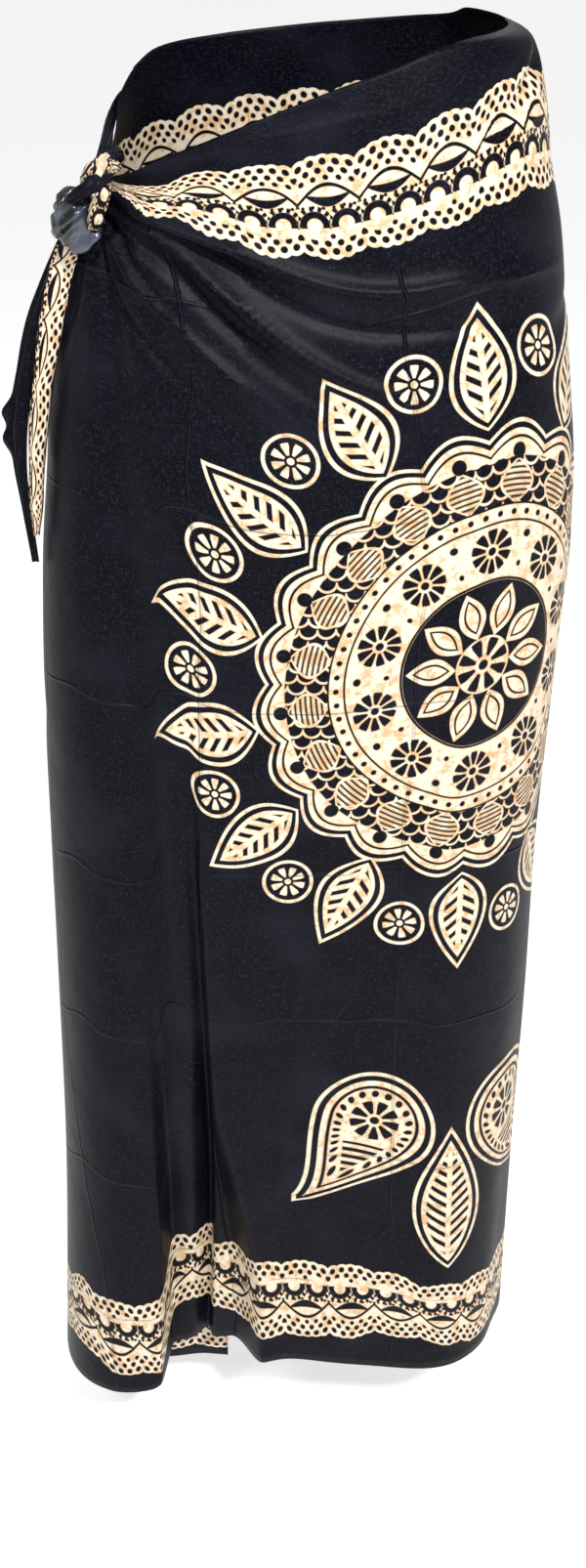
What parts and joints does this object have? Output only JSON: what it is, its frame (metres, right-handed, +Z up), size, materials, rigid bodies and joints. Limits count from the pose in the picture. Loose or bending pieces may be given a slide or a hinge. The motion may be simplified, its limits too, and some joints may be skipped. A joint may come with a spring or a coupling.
{
  "type": "sarong",
  "caption": "Long wrapped sarong of thin black rayon with a pale lace-like border and batik motifs, tied in a knot at the wearer's right hip, its two tails hanging.",
  "frame": {"origin": "centre of the waist opening, where the wearer's waist holds the cloth", "axes": "+Z up, -Y the wearer's front, +X the wearer's left"},
  "size_m": [0.3941, 0.243, 1.0941],
  "materials": {
    "printed_rayon": "thin woven rayon, near black, with a cream and tan batik print",
    "knot_rayon": "the same rayon, crumpled and slightly lustrous",
    "border_rayon": "the same rayon where its cream border shows"
  },
  "bodies": {
    "root": {"wrap_front": "printed_rayon", "wrap_back": "printed_rayon", "underlap": "printed_rayon", "knot": "knot_rayon", "tail_front": "border_rayon", "tail_back": "knot_rayon"}
  },
  "joints": []
}
